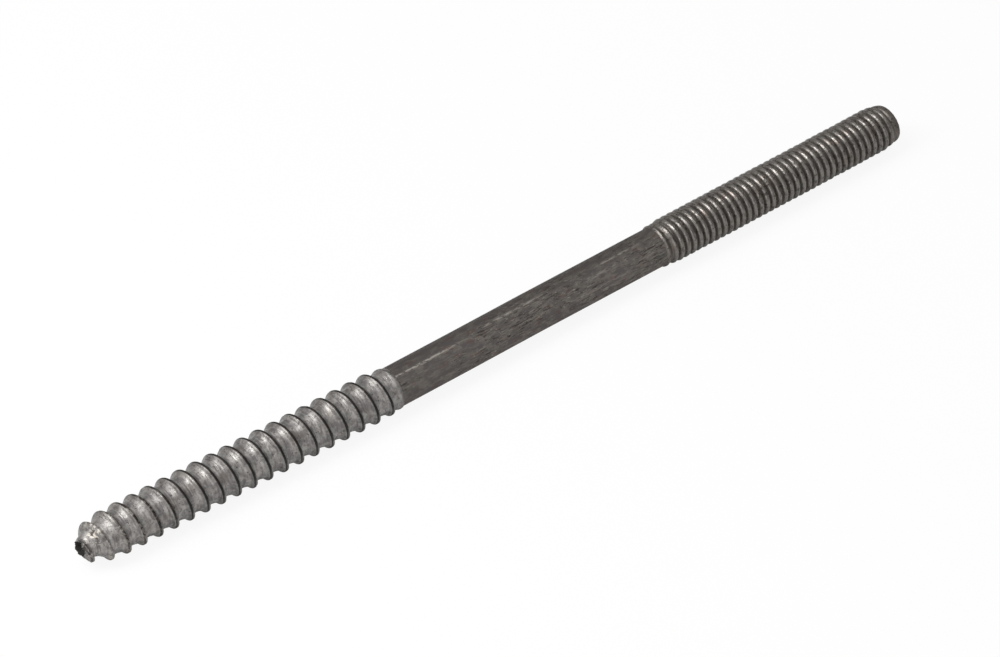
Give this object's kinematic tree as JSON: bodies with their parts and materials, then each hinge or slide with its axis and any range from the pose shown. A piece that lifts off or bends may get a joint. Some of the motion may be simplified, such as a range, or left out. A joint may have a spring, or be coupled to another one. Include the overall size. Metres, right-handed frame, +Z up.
{
  "type": "hanger bolt",
  "caption": "Plain steel hanger bolt: a coarse wood-screw thread with a blunt tip, a plain shank and a fine machine-screw thread, rolled in one piece.",
  "frame": {"origin": "on the ground below the middle of the bolt's length, in the plane through its axis", "axes": "+X along the bolt's axis towards the machine-screw end, +Z up from the surface that it lies on"},
  "size_m": [0.2002, 0.0096, 0.0097],
  "materials": {
    "plain_steel": "rolled plain steel with dark mill scale on the shank"
  },
  "bodies": {
    "root": {"hanger_bolt": "plain_steel"}
  },
  "joints": []
}
